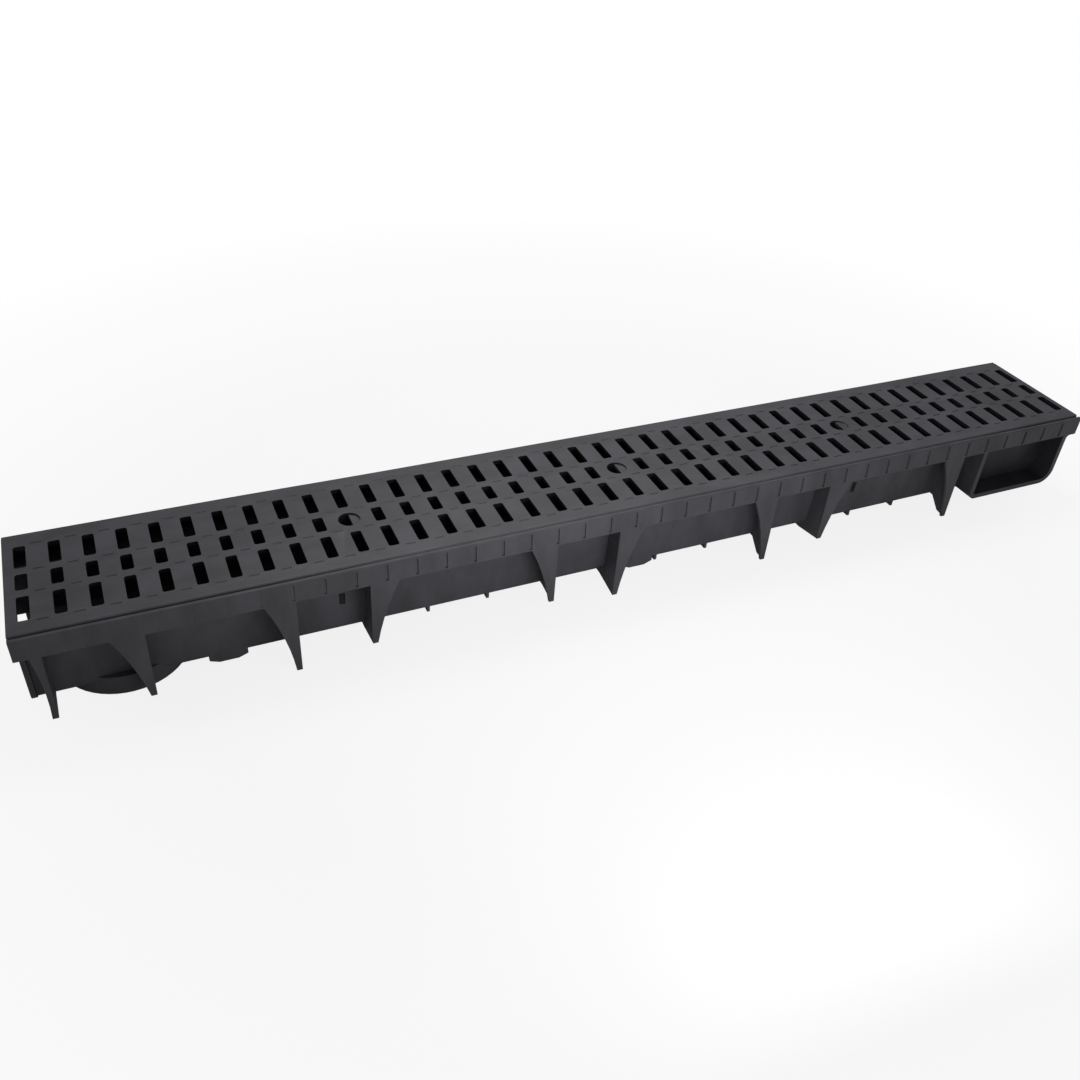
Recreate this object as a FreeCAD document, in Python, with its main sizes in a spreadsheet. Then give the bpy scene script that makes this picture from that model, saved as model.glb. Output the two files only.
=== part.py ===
import FreeCAD, Part
import math
import os
import re
import Sketcher

# Channel drain, one metre long: a moulded trough with anchors, and the slotted grating that lies in it.
# +X runs along the drain and +Z is up.  The origin is midway along and across, level with the
# longest anchor tips, which are what the drain stands on before it is bedded in.

doc = FreeCAD.newDocument("channel_drain")
dims = doc.addObject("Spreadsheet::Sheet", "dims")

DRIVING_DIMENSIONS = {
    # whole drain: heights are measured up from the longest anchor tips
    "length": 1000,
    "rim_width": 128,
    "grating_top": 90,
    "rim_top": 88.5,
    "seat_level": 72.5,
    "skirt_bottom": 70,
    "trough_bottom": 11.5,
    "outlet_bottom": 4.5,
    # rim and trough
    "rim_wall": 3.2,
    "rim_edge": 1,
    "trough_length": 997,
    "trough_top_width": 92,
    "trough_low_width": 86,
    "trough_corner": 10,
    "wall": 2.5,
    "lip_run": 4,
    "lip_height": 1.8,
    # anchors: a front plate with one upright edge, and a web behind that edge
    "anchor_start": -303.5,
    "anchor_pitch": 219,
    "pair_gap": 58,
    "outlet_anchor": -413,
    "end_anchor": -482,
    "plate": 2.5,
    "anchor_root": 24,
    "end_anchor_root": 8,
    "anchor_tip": 4.5,
    "anchor_curve": 230,
    "long_tip": 0,
    "short_tip": 9.5,
    "heel_rise": 1.5,
    "heel_reach": 54,
    "cross_rib_level": 5,
    "cross_rib_reach": 36,
    # ribs and feet under the floor
    "floor_rib_level": 8.5,
    "floor_rib_length": 80,
    "floor_rib_start": -190.3,
    "floor_rib_gap": 53.7,
    "foot_start": -356,
    "foot_pitch": 364,
    "foot_root": 30,
    "foot_face": 15,
    # outlet stub and side ports
    "outlet_centre": -430,
    "outlet_radius": 49,
    "outlet_wall": 3,
    "outlet_top": 21.5,
    "port_left": 379,
    "port_right": 489.3,
    "port_bottom": 14,
    "port_wall": 5,
    "port_left_corner": 8,
    "port_right_corner": 15,
    "port_fillet": 4,
    # grooves down the skirt, and clip windows in the trough wall
    "groove_width": 2.4,
    "groove_depth": 1,
    "groove_top": 86,
    "groove_bottom": 71.5,
    "first_window": -264,
    "second_window": 239.6,
    "window_width": 5,
    "window_low": 41,
    "window_high": 53,
    # grating
    "grating_left": -500,
    "grating_right": 497.8,
    "grating_width": 119.2,
    "grating_edge": 1.5,
    "grating_skin": 4,
    "pitch": 24.4,
    "slot_width": 8,
    "slot_corner": 1.2,
    "centre_slot": 19,
    "side_slot_start": 17.5,
    "side_slot_end": 45,
    "rib": 3,
    "centre_cell": 24,
    "flange": 3.6,
    "lock_radius": 9,
    "lock_boss_radius": 11,
    "lock_boss_depth": 10,
    # how far a cut runs past the face that it opens
    "overcut": 1,
}
ANCHOR_PAIRS = 3
SLOT_COLUMNS = 41
GROOVE_COLUMNS = SLOT_COLUMNS - 1
LOCK_COLUMNS = (-10, 0, 10)

# What hangs under the rim reaches up to the middle of the seat's shelf, to be one with it.
SHELF_MIDDLE = "(skirt_bottom + seat_level) / 2"

# Each anchor: where its upright edge stands, the side its plate spreads to, its tip level
# and the width of its root.
LEFT, RIGHT = -1, 1
ANCHORS = [
    ("end_anchor", LEFT, "short_tip", "end_anchor_root"),
    ("outlet_anchor", LEFT, "short_tip", "anchor_root"),
    ("anchor_start", LEFT, "long_tip", "anchor_root"),
    ("anchor_start + pair_gap", RIGHT, "short_tip", "anchor_root"),
    ("anchor_start + anchor_pitch", LEFT, "short_tip", "anchor_root"),
    ("anchor_start + pair_gap + anchor_pitch", RIGHT, "long_tip", "anchor_root"),
    ("anchor_start + 2 * anchor_pitch", LEFT, "long_tip", "anchor_root"),
    ("anchor_start + pair_gap + 2 * anchor_pitch", RIGHT, "short_tip", "anchor_root"),
    ("anchor_start + 3 * anchor_pitch", LEFT, "long_tip", "anchor_root"),
]

for row, (name, size) in enumerate(DRIVING_DIMENSIONS.items(), start=1):
    dims.set(f"A{row}", name)
    dims.set(f"B{row}", str(size))
    dims.setAlias(f"B{row}", name)
doc.recompute()


# ---- sketching and feature helpers ----

def linked(formula):
    """The formula as an expression on the spreadsheet's cells."""
    return re.sub(r"([a-z][a-z_]*)", r"dims.\1", formula)


def size_of(formula):
    return float(dims.evalExpression(linked(formula)))


def add_sketch(body, name, plane_role, offset="0"):
    """A sketch on one of the body's own origin planes, moved along the plane's normal."""
    plane = [item for item in body.Origin.OriginFeatures if item.Role == plane_role][0]
    sketch = body.newObject("Sketcher::SketchObject", name)
    sketch.AttachmentSupport = [(plane, "")]
    sketch.MapMode = "FlatFace"
    sketch.setExpression("AttachmentOffset.Base.z", linked(offset))
    return sketch


def place_point(sketch, geometry, point, across, up):
    """Dimension one point from the sketch's origin, each way."""
    for kind, formula, axis in (("DistanceX", across, -2), ("DistanceY", up, -1)):
        size = size_of(formula)
        if abs(size) < 1e-9:
            sketch.addConstraint(Sketcher.Constraint("PointOnObject", geometry, point, axis))
        elif size > 0:
            index = sketch.addConstraint(Sketcher.Constraint(kind, -1, 1, geometry, point, size))
            sketch.setExpression(f"Constraints[{index}]", linked(formula))
        else:
            index = sketch.addConstraint(Sketcher.Constraint(kind, geometry, point, -1, 1, -size))
            sketch.setExpression(f"Constraints[{index}]", linked(f"-({formula})"))


def add_arc(sketch, centre, first, last, radius):
    """The short arc between two points; tells which of its ends lies at the first point."""
    start = math.atan2(first.y - centre.y, first.x - centre.x)
    end = math.atan2(last.y - centre.y, last.x - centre.x)
    forwards = (end - start) % (2 * math.pi) < math.pi
    if not forwards:
        start, end = end, start
    circle = Part.Circle(centre, FreeCAD.Vector(0, 0, 1), size_of(radius))
    arc = sketch.addGeometry(Part.ArcOfCircle(circle, start, end), False)
    index = sketch.addConstraint(Sketcher.Constraint("Radius", arc, size_of(radius)))
    sketch.setExpression(f"Constraints[{index}]", linked(radius))
    return (arc, 1, 2) if forwards else (arc, 2, 1)


def add_outline(sketch, corners):
    """A closed outline of straight sides; a corner is (across, up) or (across, up, radius)."""
    points = [FreeCAD.Vector(size_of(corner[0]), size_of(corner[1]), 0) for corner in corners]
    arrivals, departures = [], []
    for index, corner in enumerate(corners):
        arrivals.append(points[index])
        departures.append(points[index])
        if len(corner) == 3:
            back = (points[index - 1] - points[index]).normalize()
            ahead = (points[(index + 1) % len(points)] - points[index]).normalize()
            trim = size_of(corner[2]) / math.tan(back.getAngle(ahead) / 2)
            arrivals[index] = points[index] + back * trim
            departures[index] = points[index] + ahead * trim
    lines = []
    for index in range(len(points)):
        side = Part.LineSegment(departures[index], arrivals[(index + 1) % len(points)])
        lines.append(sketch.addGeometry(side, False))
    for index, corner in enumerate(corners):
        before, after = lines[index - 1], lines[index]
        if len(corner) == 2:
            sketch.addConstraint(Sketcher.Constraint("Coincident", before, 2, after, 1))
            place_point(sketch, after, 1, corner[0], corner[1])
            continue
        back = (arrivals[index] - points[index]).normalize()
        ahead = (departures[index] - points[index]).normalize()
        reach = size_of(corner[2]) / math.sin(back.getAngle(ahead) / 2)
        centre = points[index] + (back + ahead).normalize() * reach
        arc, first, last = add_arc(sketch, centre, arrivals[index], departures[index], corner[2])
        sketch.addConstraint(Sketcher.Constraint("Tangent", before, 2, arc, first))
        sketch.addConstraint(Sketcher.Constraint("Tangent", arc, last, after, 1))
        apex = sketch.addGeometry(Part.Point(points[index]), True)
        sketch.addConstraint(Sketcher.Constraint("PointOnObject", apex, 1, before))
        sketch.addConstraint(Sketcher.Constraint("PointOnObject", apex, 1, after))
        place_point(sketch, apex, 1, corner[0], corner[1])


def add_rectangle(sketch, left, right, low, high):
    add_outline(sketch, [(left, low), (right, low), (right, high), (left, high)])


def add_circle(sketch, across, up, radius):
    centre = FreeCAD.Vector(size_of(across), size_of(up), 0)
    circle = Part.Circle(centre, FreeCAD.Vector(0, 0, 1), size_of(radius))
    geometry = sketch.addGeometry(circle, False)
    place_point(sketch, geometry, 3, across, up)
    index = sketch.addConstraint(Sketcher.Constraint("Radius", geometry, size_of(radius)))
    sketch.setExpression(f"Constraints[{index}]", linked(radius))


def add_feature(body, kind, name, sketch, length="", both_ways=False, reverse=False):
    """A pad or pocket of a sketch: to a length, or right through when no length is given."""
    feature = body.newObject(f"PartDesign::{kind}", name)
    feature.Profile = sketch
    feature.SideType = "Symmetric" if both_ways else "One side"
    feature.Reversed = reverse
    if length:
        feature.setExpression("Length", linked(length))
    else:
        feature.Type = "ThroughAll"
    sketch.Visibility = False
    doc.recompute()
    return feature


def repeat_along(body, name, features, count):
    """Repeat features along +X at the slot pitch."""
    pattern = body.newObject("PartDesign::LinearPattern", name)
    pattern.Originals = features
    along = [item for item in body.Origin.OriginFeatures if item.Role == "X_Axis"][0]
    pattern.Direction = (along, [""])
    pattern.Mode = "Spacing"
    pattern.setExpression("Offset", linked("pitch"))
    pattern.Occurrences = count
    body.Tip = pattern
    doc.recompute()
    return pattern


# ---- channel body: rim, anchors, trough, outlet stub and side ports moulded as one piece ----

def add_rim(body):
    """The two upstands and the seat are cut later from this flat bar."""
    half = "rim_width / 2"
    sketch = add_sketch(body, "rim_profile", "YZ_Plane")
    add_outline(sketch, [
        (f"-{half}", "skirt_bottom"),
        (half, "skirt_bottom"),
        (half, "rim_top", "rim_edge"),
        (f"-{half}", "rim_top", "rim_edge"),
    ])
    add_feature(body, "Pad", "rim_bar", sketch, "length", both_ways=True)


def add_anchor_outline(sketch, edge, side, tip, root):
    """One anchor plate: upright edge, blunt tip, and a long hollow curve up to the wide root."""
    far_root = f"{edge} + {side} * {root}"
    far_tip = f"{edge} + {side} * anchor_tip"
    top = SHELF_MIDDLE
    corners = [(edge, top), (edge, tip), (far_tip, tip), (far_root, "skirt_bottom"), (far_root, top)]
    points = [FreeCAD.Vector(size_of(across), size_of(up), 0) for across, up in corners]
    chord = points[3] - points[2]
    outwards = FreeCAD.Vector(chord.y, -chord.x, 0).normalize() * side
    rise = math.sqrt(size_of("anchor_curve") ** 2 - (chord.Length / 2) ** 2)
    centre = (points[2] + points[3]) * 0.5 + outwards * rise
    sides = []
    for start, end in ((0, 1), (1, 2), (3, 4), (4, 0)):
        line = sketch.addGeometry(Part.LineSegment(points[start], points[end]), False)
        sides.append(line)
    arc, low_end, high_end = add_arc(sketch, centre, points[2], points[3], "anchor_curve")
    down, blunt, up, across = sides
    for first, first_end, last, last_end in (
        (down, 2, blunt, 1),
        (blunt, 2, arc, low_end),
        (arc, high_end, up, 1),
        (up, 2, across, 1),
        (across, 2, down, 1),
    ):
        sketch.addConstraint(Sketcher.Constraint("Coincident", first, first_end, last, last_end))
    for line, corner in ((down, corners[0]), (blunt, corners[1]), (up, corners[3]), (across, corners[4])):
        place_point(sketch, line, 1, corner[0], corner[1])
    place_point(sketch, blunt, 2, far_tip, tip)


def add_anchor_plates(body):
    """All the plates are extruded across the drain at once, then the middle is cleared."""
    sketch = add_sketch(body, "anchor_outlines", "XZ_Plane")
    for edge, side, tip, root in ANCHORS:
        add_anchor_outline(sketch, edge, side, tip, root)
    add_feature(body, "Pad", "anchor_plates", sketch, "rim_width", both_ways=True)
    sketch = add_sketch(body, "between_plates", "YZ_Plane")
    inside = "rim_width / 2 - plate"
    add_rectangle(sketch, f"-({inside})", inside, "long_tip - overcut", "skirt_bottom")
    add_feature(body, "Pocket", "clear_between_plates", sketch, both_ways=True)


def add_ports(body):
    """A U-shaped collar on each side, a little above the trough's floor, for a branch channel."""
    sketch = add_sketch(body, "port_outline", "XZ_Plane")
    add_outline(sketch, [
        ("port_left", "port_bottom", "port_left_corner"),
        ("port_right", "port_bottom", "port_right_corner"),
        ("port_right", "skirt_bottom", "port_fillet"),
        ("port_right + 2 * port_fillet", "skirt_bottom"),
        ("port_right + 2 * port_fillet", SHELF_MIDDLE),
        ("port_left", SHELF_MIDDLE),
    ])
    add_feature(body, "Pad", "port_collars", sketch, "rim_width", both_ways=True)
    sketch = add_sketch(body, "port_opening", "XZ_Plane")
    add_outline(sketch, [
        ("port_left + port_wall", "port_bottom + port_wall", "port_left_corner - port_wall"),
        ("port_right - port_wall", "port_bottom + port_wall", "port_right_corner - port_wall"),
        ("port_right - port_wall", "skirt_bottom"),
        ("port_left + port_wall", "skirt_bottom"),
    ])
    add_feature(body, "Pocket", "port_recesses", sketch, both_ways=True)


def add_webs(body):
    """Behind each upright edge a web ties both plates to the trough.

    The webs of the anchors that spread to the right run on under the floor as a cross rib.
    """
    outer = "rim_width / 2 - plate / 2"
    for number, (edge, side, tip, root) in enumerate(ANCHORS, start=1):
        position = edge if side == RIGHT else f"{edge} - plate"
        sketch = add_sketch(body, f"web_outline_{number}", "YZ_Plane", position)
        if side == RIGHT:
            lower_edge = [("cross_rib_reach", "cross_rib_level")]
        else:
            lower_edge = [
                ("heel_reach", f"{tip} + heel_rise"),
                ("trough_low_width / 2", "trough_bottom + heel_rise"),
            ]
        right_half = [(outer, SHELF_MIDDLE), (outer, tip)] + lower_edge
        left_half = [(f"-({across})", up) for across, up in reversed(right_half)]
        add_outline(sketch, right_half + left_half)
        add_feature(body, "Pad", f"web_{number}", sketch, "plate")


def add_trough(body):
    """The trough, and a lip up both sides of its left end."""
    for name, run, height in (("trough", "trough_length", "0"), ("end_lip", "lip_run", "lip_height")):
        sketch = add_sketch(body, f"{name}_profile", "YZ_Plane", "-trough_length / 2")
        top, low = f"(trough_top_width / 2 + {height})", f"(trough_low_width / 2 + {height})"
        add_outline(sketch, [
            (f"-{top}", SHELF_MIDDLE),
            (f"-{low}", "trough_bottom", "trough_corner"),
            (low, "trough_bottom", "trough_corner"),
            (top, SHELF_MIDDLE),
        ])
        add_feature(body, "Pad", name, sketch, run)


def add_underside(body):
    """Two thin cross ribs between the anchor pairs, and two broad feet with sloping sides."""
    sketch = add_sketch(body, "floor_ribs", "XZ_Plane")
    for pair in range(ANCHOR_PAIRS):
        for rib in (0, 1):
            middle = f"floor_rib_start + {pair} * anchor_pitch + {rib} * floor_rib_gap"
            add_rectangle(sketch, f"{middle} - wall / 2", f"{middle} + wall / 2",
                          "floor_rib_level", "trough_bottom + trough_corner / 2")
    add_feature(body, "Pad", "cross_ribs", sketch, "floor_rib_length", both_ways=True)
    sketch = add_sketch(body, "foot_outlines", "XZ_Plane")
    for middle in ("foot_start", "foot_start + foot_pitch"):
        add_outline(sketch, [
            (f"{middle} - foot_face / 2", "floor_rib_level"),
            (f"{middle} + foot_face / 2", "floor_rib_level"),
            (f"{middle} + foot_root / 2", "trough_bottom"),
            (f"{middle} + foot_root / 2", "trough_bottom + trough_corner"),
            (f"{middle} - foot_root / 2", "trough_bottom + trough_corner"),
            (f"{middle} - foot_root / 2", "trough_bottom"),
        ])
    add_feature(body, "Pad", "feet", sketch, "trough_low_width", both_ways=True)


def add_outlet(body):
    """A round stub under the floor near the left end; its floor is cut out when it is piped."""
    sketch = add_sketch(body, "outlet_outline", "XY_Plane", "outlet_bottom")
    add_circle(sketch, "outlet_centre", "0", "outlet_radius")
    add_feature(body, "Pad", "outlet_stub", sketch, "outlet_top - outlet_bottom")
    sketch = add_sketch(body, "outlet_bore", "XY_Plane", "outlet_bottom")
    add_circle(sketch, "outlet_centre", "0", "outlet_radius - outlet_wall")
    add_feature(body, "Pocket", "outlet_opening", sketch, "trough_bottom - outlet_bottom", reverse=True)


def cut_inside(body):
    """The water way and, above it, the wider seat that the grating lies in."""
    sketch = add_sketch(body, "inner_profile", "YZ_Plane")
    seat = "rim_width / 2 - rim_wall"
    top, low = "trough_top_width / 2 - wall", "trough_low_width / 2 - wall"
    right_half = [
        (low, "trough_bottom + wall", "trough_corner - wall"),
        (top, "seat_level"),
        (seat, "seat_level"),
        (seat, "grating_top"),
    ]
    left_half = [(f"-({corner[0]})",) + corner[1:] for corner in reversed(right_half)]
    add_outline(sketch, right_half + left_half)
    add_feature(body, "Pocket", "water_way", sketch, both_ways=True)


def cut_windows(body):
    """Two openings in each trough wall that the grating's clips snap into."""
    sketch = add_sketch(body, "window_outlines", "XZ_Plane")
    for middle in ("first_window", "second_window"):
        add_rectangle(sketch, f"{middle} - window_width / 2", f"{middle} + window_width / 2",
                      "window_low", "window_high")
    add_feature(body, "Pocket", "clip_windows", sketch, both_ways=True)


def cut_grooves(body):
    """Shallow grooves down both skirts, one between each two slot columns."""
    sketch = add_sketch(body, "groove_outlines", "XY_Plane", "groove_top")
    middle = f"-{GROOVE_COLUMNS - 1} / 2 * pitch"
    edge = "rim_width / 2"
    for low, high in ((f"{edge} - groove_depth", f"{edge} + overcut"),
                      (f"-{edge} - overcut", f"-{edge} + groove_depth")):
        add_rectangle(sketch, f"{middle} - groove_width / 2", f"{middle} + groove_width / 2", low, high)
    groove = add_feature(body, "Pocket", "skirt_groove", sketch, "groove_top - groove_bottom")
    repeat_along(body, "skirt_grooves", [groove], GROOVE_COLUMNS)


def build_channel_body():
    body = doc.addObject("PartDesign::Body", "channel_body")
    add_rim(body)
    add_anchor_plates(body)
    add_ports(body)
    add_webs(body)
    add_trough(body)
    add_underside(body)
    add_outlet(body)
    cut_inside(body)
    cut_windows(body)
    cut_grooves(body)
    return body


# ---- grating: slotted skin on a lattice of ribs, moulded as one piece ----

def add_grating_bar(body):
    half = "grating_width / 2"
    sketch = add_sketch(body, "grating_profile", "YZ_Plane", "grating_left")
    add_outline(sketch, [
        (f"-{half}", "seat_level"),
        (half, "seat_level"),
        (half, "grating_top", "grating_edge"),
        (f"-{half}", "grating_top", "grating_edge"),
    ])
    add_feature(body, "Pad", "grating_bar", sketch, "grating_right - grating_left")


def cell_rows():
    """The three cells across the grating, as low and high edges."""
    centre = "centre_cell / 2"
    inner, outer = f"{centre} + rib", "grating_width / 2 - flange"
    return [(f"-({outer})", f"-({inner})"), (f"-{centre}", centre), (inner, outer)]


def cut_cells(body):
    """Hollow the bar from below, leaving ribs between the slots and a flange all round."""
    depth = "grating_top - grating_skin - seat_level"
    inner_columns = SLOT_COLUMNS - 2
    first = f"-{inner_columns - 1} / 2 * pitch"
    half_cell = "(pitch - rib) / 2"
    sketch = add_sketch(body, "cell_outlines", "XY_Plane", "seat_level")
    for low, high in cell_rows():
        add_rectangle(sketch, f"{first} - {half_cell}", f"{first} + {half_cell}", low, high)
    cells = add_feature(body, "Pocket", "cells", sketch, depth, reverse=True)
    repeat_along(body, "cell_columns", [cells], inner_columns)
    near = f"{inner_columns} / 2 * pitch + rib / 2"
    sketch = add_sketch(body, "end_cell_outlines", "XY_Plane", "seat_level")
    for low, high in cell_rows():
        add_rectangle(sketch, near, "grating_right - rib", low, high)
        add_rectangle(sketch, "grating_left + rib", f"-({near})", low, high)
    add_feature(body, "Pocket", "end_cells", sketch, depth, reverse=True)


def cut_slots(body):
    """One column of three slots with eased corners, repeated along the grating."""
    middle = f"-{SLOT_COLUMNS - 1} / 2 * pitch"
    half = "slot_width / 2"
    sketch = add_sketch(body, "slot_outlines", "XY_Plane", "grating_top")
    for low, high in (
        ("-side_slot_end", "-side_slot_start"),
        ("-centre_slot / 2", "centre_slot / 2"),
        ("side_slot_start", "side_slot_end"),
    ):
        add_outline(sketch, [
            (f"{middle} - {half} + slot_corner", low),
            (f"{middle} + {half} - slot_corner", low),
            (f"{middle} + {half}", f"{low} + slot_corner"),
            (f"{middle} + {half}", f"{high} - slot_corner"),
            (f"{middle} + {half} - slot_corner", high),
            (f"{middle} - {half} + slot_corner", high),
            (f"{middle} - {half}", f"{high} - slot_corner"),
            (f"{middle} - {half}", f"{low} + slot_corner"),
        ])
    slots = add_feature(body, "Pocket", "slots", sketch)
    repeat_along(body, "slot_columns", [slots], SLOT_COLUMNS)


def add_lock_eyes(body):
    """Three round eyes take the place of centre slots."""
    sketch = add_sketch(body, "lock_bosses", "XY_Plane", "grating_top")
    for column in LOCK_COLUMNS:
        add_circle(sketch, f"{column} * pitch", "0", "lock_boss_radius")
    add_feature(body, "Pad", "lock_boss_pads", sketch, "lock_boss_depth", reverse=True)
    sketch = add_sketch(body, "lock_holes", "XY_Plane", "grating_top")
    for column in LOCK_COLUMNS:
        add_circle(sketch, f"{column} * pitch", "0", "lock_radius")
    add_feature(body, "Pocket", "lock_eyes", sketch)


def build_grating():
    body = doc.addObject("PartDesign::Body", "grating")
    add_grating_bar(body)
    cut_cells(body)
    cut_slots(body)
    add_lock_eyes(body)
    return body


# ---- build, check and write ----

pieces = [build_channel_body(), build_grating()]
doc.recompute()
for item in doc.Objects:
    if "Invalid" in item.State or "Error" in item.State:
        raise RuntimeError(f"{item.Name} did not build")

os.makedirs("parts", exist_ok=True)
for piece in pieces:
    shape = piece.Shape
    if shape.isNull() or not shape.isValid() or len(shape.Solids) != 1:
        raise RuntimeError(f"{piece.Label} is not one valid solid")
    shape.exportStep(f"parts/{piece.Label}.step")
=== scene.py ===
import math

import bpy
from mathutils import Matrix, Vector


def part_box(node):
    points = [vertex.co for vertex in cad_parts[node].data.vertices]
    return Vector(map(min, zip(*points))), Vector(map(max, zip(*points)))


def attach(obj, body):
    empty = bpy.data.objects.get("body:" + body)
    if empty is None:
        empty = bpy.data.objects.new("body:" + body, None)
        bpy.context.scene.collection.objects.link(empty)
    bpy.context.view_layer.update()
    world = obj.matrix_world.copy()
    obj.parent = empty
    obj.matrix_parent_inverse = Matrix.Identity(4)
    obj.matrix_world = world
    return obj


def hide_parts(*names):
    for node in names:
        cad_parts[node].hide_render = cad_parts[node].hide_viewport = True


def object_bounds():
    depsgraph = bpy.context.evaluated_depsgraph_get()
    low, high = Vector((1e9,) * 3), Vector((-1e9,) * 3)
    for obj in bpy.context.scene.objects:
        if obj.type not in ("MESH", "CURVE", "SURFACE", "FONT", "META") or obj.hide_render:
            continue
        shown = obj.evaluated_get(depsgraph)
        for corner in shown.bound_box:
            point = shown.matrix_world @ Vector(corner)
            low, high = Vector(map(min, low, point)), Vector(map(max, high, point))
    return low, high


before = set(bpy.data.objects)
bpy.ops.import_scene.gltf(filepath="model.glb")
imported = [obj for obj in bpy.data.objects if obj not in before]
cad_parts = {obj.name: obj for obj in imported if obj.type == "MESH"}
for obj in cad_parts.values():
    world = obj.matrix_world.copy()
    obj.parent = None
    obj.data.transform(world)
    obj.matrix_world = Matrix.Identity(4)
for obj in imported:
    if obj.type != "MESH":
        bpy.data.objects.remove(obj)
cad_low, cad_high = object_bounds()


# ---- channel body ----
# Trough, rims, anchors, outlet stub and port collars come out of the tool as one injection
# moulding in charcoal polypropylene.  Its faces are satin and show faint flow marks.

SAME_POINT = 0.00001
FLAT = math.radians(0.5)
SHARP = math.radians(40)


def take_moulding(node, name):
    """A copy of a moulding of the frame, with its loose triangles merged into whole faces."""
    bpy.ops.object.select_all(action="DESELECT")
    piece = bpy.data.objects.new(name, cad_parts[node].data.copy())
    bpy.context.collection.objects.link(piece)
    piece.select_set(True)
    bpy.context.view_layer.objects.active = piece
    bpy.ops.object.mode_set(mode="EDIT")
    bpy.ops.mesh.select_all(action="SELECT")
    bpy.ops.mesh.remove_doubles(threshold=SAME_POINT)
    bpy.ops.mesh.dissolve_limited(angle_limit=FLAT)
    bpy.ops.object.mode_set(mode="OBJECT")
    piece.data.materials.clear()
    return piece


def round_edges(piece, edge):
    """Round the sharp edges, by no more than the shortest edge allows, in the second material."""
    bevel = piece.modifiers.new("rounded edges", "BEVEL")
    bevel.width = edge
    bevel.segments = 2
    bevel.limit_method = "ANGLE"
    bevel.angle_limit = SHARP
    bevel.material = 1
    bpy.ops.object.modifier_apply(modifier=bevel.name)


def finish_faces(piece):
    """Shade curves and roundings smooth, with the flat faces left flat."""
    bpy.ops.object.select_all(action="DESELECT")
    piece.select_set(True)
    bpy.context.view_layer.objects.active = piece
    bpy.ops.object.shade_smooth_by_angle(angle=SHARP)
    flat = piece.modifiers.new("flat faces", "WEIGHTED_NORMAL")
    flat.weight = 100
    flat.keep_sharp = True
    bpy.ops.object.modifier_apply(modifier=flat.name)


def linear(code):
    """An sRGB hex colour as the linear colour that shaders take."""
    shares = [int(code[place:place + 2], 16) / 255 for place in (1, 3, 5)]
    return [s / 12.92 if s <= 0.04045 else ((s + 0.055) / 1.055) ** 2.4 for s in shares] + [1]


def add_node(tree, kind, settings, links):
    """Add a node; settings go to its inputs or, where it has none of that name, to the node."""
    node = tree.nodes.new("ShaderNode" + kind)
    for name, value in settings.items():
        if name in node.inputs:
            node.inputs[name].default_value = value
        else:
            setattr(node, name, value)
    for name, output in links.items():
        tree.links.new(output, node.inputs[name])
    return node


# Flow marks are patches about 20 mm across, where the melt cooled at different rates.  The tool's
# spark-eroded grain is 0.3 mm across, and it is drawn 1.1 mm across so that it shows.
FLOW_MARK = 0.020
GRAIN = 0.0011
GRAIN_HEIGHT = 0.00006
POLYPROPYLENE_IOR = 1.49


def mould_finish(name, dark, pale, roughness, stretch=(1, 1, 1)):
    """Moulded polypropylene: two close shades in flow marks that stretch draws out, and a grain."""
    material = bpy.data.materials.new(name)
    material.use_nodes = True
    tree = material.node_tree
    shader = tree.nodes["Principled BSDF"]
    shader.inputs["Roughness"].default_value = roughness
    shader.inputs["IOR"].default_value = POLYPROPYLENE_IOR
    place = add_node(tree, "TexCoord", {}, {}).outputs["Object"]
    flow_place = add_node(tree, "Mapping", {"Scale": stretch}, {"Vector": place}).outputs["Vector"]
    flow_settings = {"Scale": 1 / FLOW_MARK, "Detail": 3, "Roughness": 0.55}
    flow = add_node(tree, "TexNoise", flow_settings, {"Vector": flow_place}).outputs["Fac"]
    # The middle third of the noise spans both shades, so that each shows whole.
    shade = add_node(tree, "MapRange", {"From Min": 0.32, "From Max": 0.68}, {"Value": flow})
    colour = add_node(tree, "Mix", {"data_type": "RGBA"}, {0: shade.outputs["Result"]})
    colour.inputs[6].default_value = linear(dark)
    colour.inputs[7].default_value = linear(pale)
    tree.links.new(colour.outputs[2], shader.inputs["Base Color"])
    grain = add_node(tree, "TexNoise", {"Scale": 1 / GRAIN, "Detail": 2}, {"Vector": place}).outputs["Fac"]
    bump = add_node(tree, "Bump", {"Strength": 0.35, "Distance": GRAIN_HEIGHT}, {"Height": grain})
    tree.links.new(bump.outputs["Normal"], shader.inputs["Normal"])
    return material


# Satin charcoal faces with flow marks drawn out down the walls; a paler, shinier finish for the
# edges, which are rounded too finely to show it; and painted shade, a darker colour, on the
# recesses inside the port collars.
channel = take_moulding("channel_body", "channel_moulding")
channel_finishes = (
    mould_finish("moulded polypropylene", "#3b3b40", "#4a4a50", 0.52, (1, 1, 0.35)),
    mould_finish("rubbed polypropylene", "#4c4c51", "#57575c", 0.45),
    mould_finish("polypropylene with painted shade in the port recess", "#232328", "#303036", 0.5),
)
for finish in channel_finishes:
    channel.data.materials.append(finish)

# The lowest and highest x, distance from the middle plane, and z of the faces in a port recess.
PORT_RECESS = ((0.3838, 0.4845), (0.03, 0.0637), (0.0188, 0.0702))
# These faces take the third finish, a darker colour that is painted shade in the recess.
for face in channel.data.polygons:
    place = (face.center.x, abs(face.center.y), face.center.z)
    if all(low < size < high for size, (low, high) in zip(place, PORT_RECESS)):
        face.material_index = 2

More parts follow.
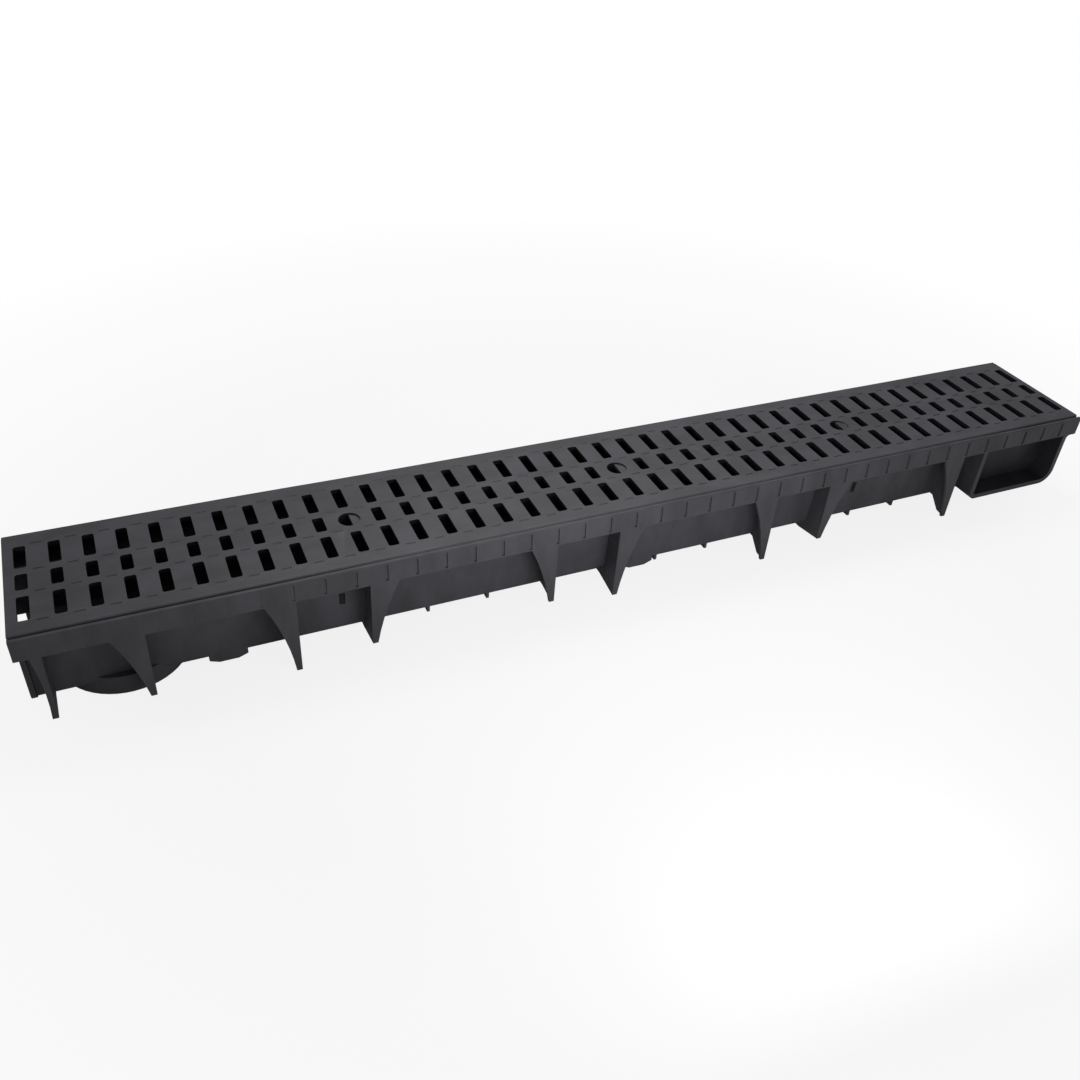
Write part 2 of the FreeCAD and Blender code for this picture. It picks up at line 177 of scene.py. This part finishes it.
# Both upstands lean in along the middle of their run, where they almost touch the grating, and
# stand upright at both ends.  The faces are cut across first, so that they can bend.
CUT_PITCH = 0.04
CUTS = 12
UPSTAND_INSIDE = 0.0605
SEAT = 0.0726
LEAN = 0.0011
LEAN_MIDDLE = 0.06
LEAN_REACH = 0.39
LEAN_FADE = 0.13
LEAN_RISE = 0.009
bpy.ops.object.mode_set(mode="EDIT")
for cut in range(-CUTS, CUTS + 1):
    bpy.ops.mesh.select_all(action="SELECT")
    bpy.ops.mesh.bisect(plane_co=(cut * CUT_PITCH, 0, 0), plane_no=(1, 0, 0))
bpy.ops.object.mode_set(mode="OBJECT")

# At the left end the floor and the far wall of the trough stop 2 mm sooner than its near wall.
LEFT_END = -0.4983
FLOOR_END = -0.4963
NEAR_WALL = -0.03
for point in channel.data.vertices:
    if abs(point.co.y) > UPSTAND_INSIDE and point.co.z > SEAT:
        along = (LEAN_REACH - abs(point.co.x - LEAN_MIDDLE)) / LEAN_FADE
        lean = LEAN * math.sin(min(max(along, 0), 1) * math.pi / 2) ** 2
        point.co.y -= math.copysign(lean * min((point.co.z - SEAT) / LEAN_RISE, 1), point.co.y)
    elif point.co.x < LEFT_END and point.co.z < SEAT and point.co.y > NEAR_WALL:
        point.co.x = FLOOR_END

# The shortest edges of the mesh hold these roundings back until they are too fine to see, but
# they still keep the shading of one face from running into the next.
CHANNEL_EDGE = 0.0005
round_edges(channel, CHANNEL_EDGE)

# The grooves down the skirts run out towards the left end.
GROOVE_DEEPEST = 0.0011
GROOVE_LOW = 0.071
GROOVE_HIGH = 0.0865
GROOVE_FULL = -0.25
GROOVE_FAINT = -0.34
GROOVE_LOST = 0.85
skirt_face = cad_high.y
for point in channel.data.vertices:
    sunk = skirt_face - abs(point.co.y)
    if 0 < sunk < GROOVE_DEEPEST and GROOVE_LOW < point.co.z < GROOVE_HIGH:
        along = (GROOVE_FULL - point.co.x) / (GROOVE_FULL - GROOVE_FAINT)
        lost = GROOVE_LOST * min(max(along, 0), 1)
        point.co.y += math.copysign(sunk * lost, point.co.y)

finish_faces(channel)
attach(channel, "root")
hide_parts("channel_body")


# ---- grating ----
# The grating is a second moulding in the same plastic: a skin with three rows of slots over a
# lattice of ribs.  It lies loose in the seat of the channel.  Feet and tyres have polished its
# top a little, and the walls of the slots and ribs are darkened with painted shade.

grating = take_moulding("grating", "grating_moulding")
trodden = mould_finish("moulded polypropylene, trodden", "#3e3e43", "#4b4b51", 0.5, (0.5, 1, 1))
rubbed = mould_finish("rubbed polypropylene, trodden", "#505055", "#5b5b60", 0.42)
# The third finish is a darker colour: painted shade for the upright walls.
painted_wall_shade = mould_finish("unworn polypropylene", "#1f1f23", "#28282c", 0.38)
for finish in (trodden, rubbed, painted_wall_shade):
    grating.data.materials.append(finish)

GRATING_SIDE = 0.059
# The upright walls of the slots and ribs take the third finish, which is painted shade.
for face in grating.data.polygons:
    if abs(face.normal.z) < 0.5 and abs(face.center.y) < GRATING_SIDE:
        face.material_index = 2

# Each slot is opened by 0.4 mm on both sides, apart from the wall of skin round a lock eye.
SLOT_PITCH = 0.0244
SLOT_OPENING = 0.0004
SLOT_WALL = (0.0027, 0.0041)
SLOT_REACH = 0.0455
SKIN = 0.0041
LOCK_EYES = (-10 * SLOT_PITCH, 0, 10 * SLOT_PITCH)
EYE_REACH = 0.0103
grating_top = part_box("grating")[1].z


def round_an_eye(place):
    """Whether a place is on the skin round one of the lock eyes."""
    nearest = min(abs(place.x - eye) for eye in LOCK_EYES)
    return nearest < SLOT_PITCH / 2 and abs(place.y) < EYE_REACH


for point in grating.data.vertices:
    offset = point.co.x - round(point.co.x / SLOT_PITCH) * SLOT_PITCH
    on_wall = SLOT_WALL[0] < abs(offset) < SLOT_WALL[1] and abs(point.co.y) < SLOT_REACH
    if on_wall and point.co.z > grating_top - SKIN and not round_an_eye(point.co):
        point.co.x += math.copysign(SLOT_OPENING, offset)

# Every sharp edge is rounded, and the strips take the second, rubbed finish.  Down inside the
# slots they take the painted shade of the walls again.
GRATING_EDGE = 0.0006
round_edges(grating, GRATING_EDGE)
for face in grating.data.polygons:
    upright = abs(face.normal.z) < 0.2
    if face.material_index == 1 and upright and abs(face.center.y) < GRATING_SIDE:
        face.material_index = 2

# Grip marks: short shallow dents along the skin, four between each two columns of slots.  They are
# coloured darker than the skin with painted shade.
GAPS = 40
MARK_ROWS = (-0.047, -0.0135, 0.0135, 0.047)
MARK_LENGTH = 0.0078
MARK_RADIUS = 0.0011
MARK_DEPTH = 0.0005
bpy.ops.object.select_all(action="DESELECT")
bpy.ops.mesh.primitive_cylinder_add(vertices=10, radius=MARK_RADIUS, depth=MARK_LENGTH)
mark = bpy.context.object
bpy.ops.object.mode_set(mode="EDIT")
bpy.ops.transform.rotate(value=math.radians(90), orient_axis="Y", center_override=(0, 0, 0))
bpy.ops.object.mode_set(mode="OBJECT")
mark_mesh = mark.data
# The marks' darker colour is painted shade.
mark_mesh.materials.append(mould_finish("polypropylene with painted shade in the grip marks", "#2d2d31", "#38383c", 0.5))
bpy.data.objects.remove(mark)
cutters = []
for gap in range(GAPS):
    for row in MARK_ROWS:
        cutter = bpy.data.objects.new("grip mark", mark_mesh.copy())
        bpy.context.collection.objects.link(cutter)
        middle = ((gap - (GAPS - 1) / 2) * SLOT_PITCH, row, grating_top + MARK_RADIUS - MARK_DEPTH)
        cutter.data.transform(Matrix.Translation(middle))
        cutter.select_set(True)
        cutters.append(cutter)
bpy.context.view_layer.objects.active = cutters[0]
bpy.ops.object.join()
marks = bpy.context.object


def join_shape(operation, tool):
    """Cut a shape out of the grating or add it on, with the shape's own material."""
    bpy.ops.object.select_all(action="DESELECT")
    grating.select_set(True)
    bpy.context.view_layer.objects.active = grating
    shape = grating.modifiers.new("shape", "BOOLEAN")
    shape.operation = operation
    shape.solver = "EXACT"
    shape.material_mode = "TRANSFER"
    shape.object = tool
    bpy.ops.object.modifier_apply(modifier=shape.name)
    bpy.data.objects.remove(tool)


join_shape("DIFFERENCE", marks)

# A half-moon ledge for the lock fills the right-hand side of each eye, a little below the skin.
LEDGE_RADIUS = 0.0093
LEDGE_THICKNESS = 0.003
LEDGE_START = 0.0015
LEDGE_DEPTH = 0.0016
bpy.ops.object.select_all(action="DESELECT")
bpy.ops.mesh.primitive_cylinder_add(vertices=64, radius=LEDGE_RADIUS, depth=LEDGE_THICKNESS)
ledge = bpy.context.object
bpy.ops.object.mode_set(mode="EDIT")
bpy.ops.mesh.select_all(action="SELECT")
bpy.ops.mesh.bisect(plane_co=(LEDGE_START, 0, 0), plane_no=(1, 0, 0), use_fill=True, clear_inner=True)
bpy.ops.object.mode_set(mode="OBJECT")
ledge_mesh = ledge.data
ledge_mesh.materials.append(trodden)
bpy.data.objects.remove(ledge)
for eye in LOCK_EYES:
    ledge = bpy.data.objects.new("lock ledge", ledge_mesh.copy())
    bpy.context.collection.objects.link(ledge)
    middle = (eye, 0, grating_top - LEDGE_DEPTH - LEDGE_THICKNESS / 2)
    ledge.data.transform(Matrix.Translation(middle))
    join_shape("UNION", ledge)

finish_faces(grating)
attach(grating, "root")
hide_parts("grating")


# ---- floor and background ----
# A sheet of white paper that keeps the drain's soft shadow and fades into a white background.
# Only the camera sees it glow.  The drain has no metal or glass to reflect it.

FLOOR_SIZE = 12
FADE_START = 0.4
FADE_END = 0.9
GLOW_NEAR = 0.85
ROOM_LEVEL = 0.26
bpy.ops.object.select_all(action="DESELECT")
bpy.ops.mesh.primitive_plane_add(size=FLOOR_SIZE, location=(0, 0, cad_low.z))
floor = bpy.context.object
floor.name = "floor"
paper = bpy.data.materials.new("white paper")
paper.use_nodes = True
tree = paper.node_tree
sheet = tree.nodes["Principled BSDF"]
sheet.inputs["Base Color"].default_value = linear("#e2e2e2")
sheet.inputs["Roughness"].default_value = 0.9
place = add_node(tree, "TexCoord", {}, {}).outputs["Object"]
away = add_node(tree, "VectorMath", {"operation": "LENGTH"}, {0: place}).outputs["Value"]
fade_settings = {"From Min": FADE_START, "From Max": FADE_END, "To Min": GLOW_NEAR, "To Max": 1}
fade = add_node(tree, "MapRange", fade_settings, {"Value": away}).outputs["Result"]
seen = add_node(tree, "LightPath", {}, {}).outputs["Is Camera Ray"]
share = add_node(tree, "Math", {"operation": "MULTIPLY"}, {0: seen, 1: fade}).outputs[0]
glow = add_node(tree, "Emission", {"Strength": 1}, {}).outputs[0]
blend = add_node(tree, "MixShader", {}, {0: share})
tree.links.new(sheet.outputs[0], blend.inputs[1])
tree.links.new(glow, blend.inputs[2])
tree.links.new(blend.outputs[0], tree.nodes["Material Output"].inputs["Surface"])
floor.data.materials.append(paper)

world = bpy.data.worlds.new("studio")
bpy.context.scene.world = world
world.use_nodes = True
tree = world.node_tree
seen = add_node(tree, "LightPath", {}, {}).outputs["Is Camera Ray"]
level = add_node(tree, "MapRange", {"To Min": ROOM_LEVEL, "To Max": 1}, {"Value": seen})
tree.nodes["Background"].inputs["Color"].default_value = (1, 1, 1, 1)
tree.links.new(level.outputs["Result"], tree.nodes["Background"].inputs["Strength"])


# ---- lamps ----
# Two softboxes close to the middle of the drain, one overhead and one in front, so that the
# light falls off towards both ends.


def add_softbox(name, place, size, watts):
    """A rectangular lamp that faces the middle of the drain and stays out of the picture."""
    lamp = bpy.data.objects.new(name, bpy.data.lights.new(name, "AREA"))
    lamp.data.shape = "RECTANGLE"
    lamp.data.size, lamp.data.size_y = size
    lamp.data.energy = watts
    lamp.location = place
    lamp.rotation_euler = (-Vector(place)).to_track_quat("-Z", "Y").to_euler()
    lamp.visible_camera = False
    bpy.context.collection.objects.link(lamp)


add_softbox("overhead softbox", (0.16, 0.4, 1.05), (0.7, 0.5), 6.4)
add_softbox("front softbox", (-0.02, -0.42, 0.17), (0.3, 0.25), 0.72)


# ---- camera ----
# The camera stands in front of the left end, above the drain, and looks down along it towards
# the right.  It is turned by its own right, down and forward directions.

camera = bpy.data.objects.new("camera", bpy.data.cameras.new("camera"))
bpy.context.collection.objects.link(camera)
right = Vector((0.9151, -0.3988, 0.0599))
down = Vector((-0.1947, -0.5669, -0.8004))
forward = Vector((0.3532, 0.7208, -0.5964))
camera.rotation_euler = Matrix((right, -down, -forward)).transposed().to_euler()
camera.location = (-0.4052, -0.6825, 0.5915)
camera.data.lens = 34.87
camera.data.clip_start = 0.01
bpy.context.scene.camera = camera
bpy.context.scene.view_settings.view_transform = "Standard"
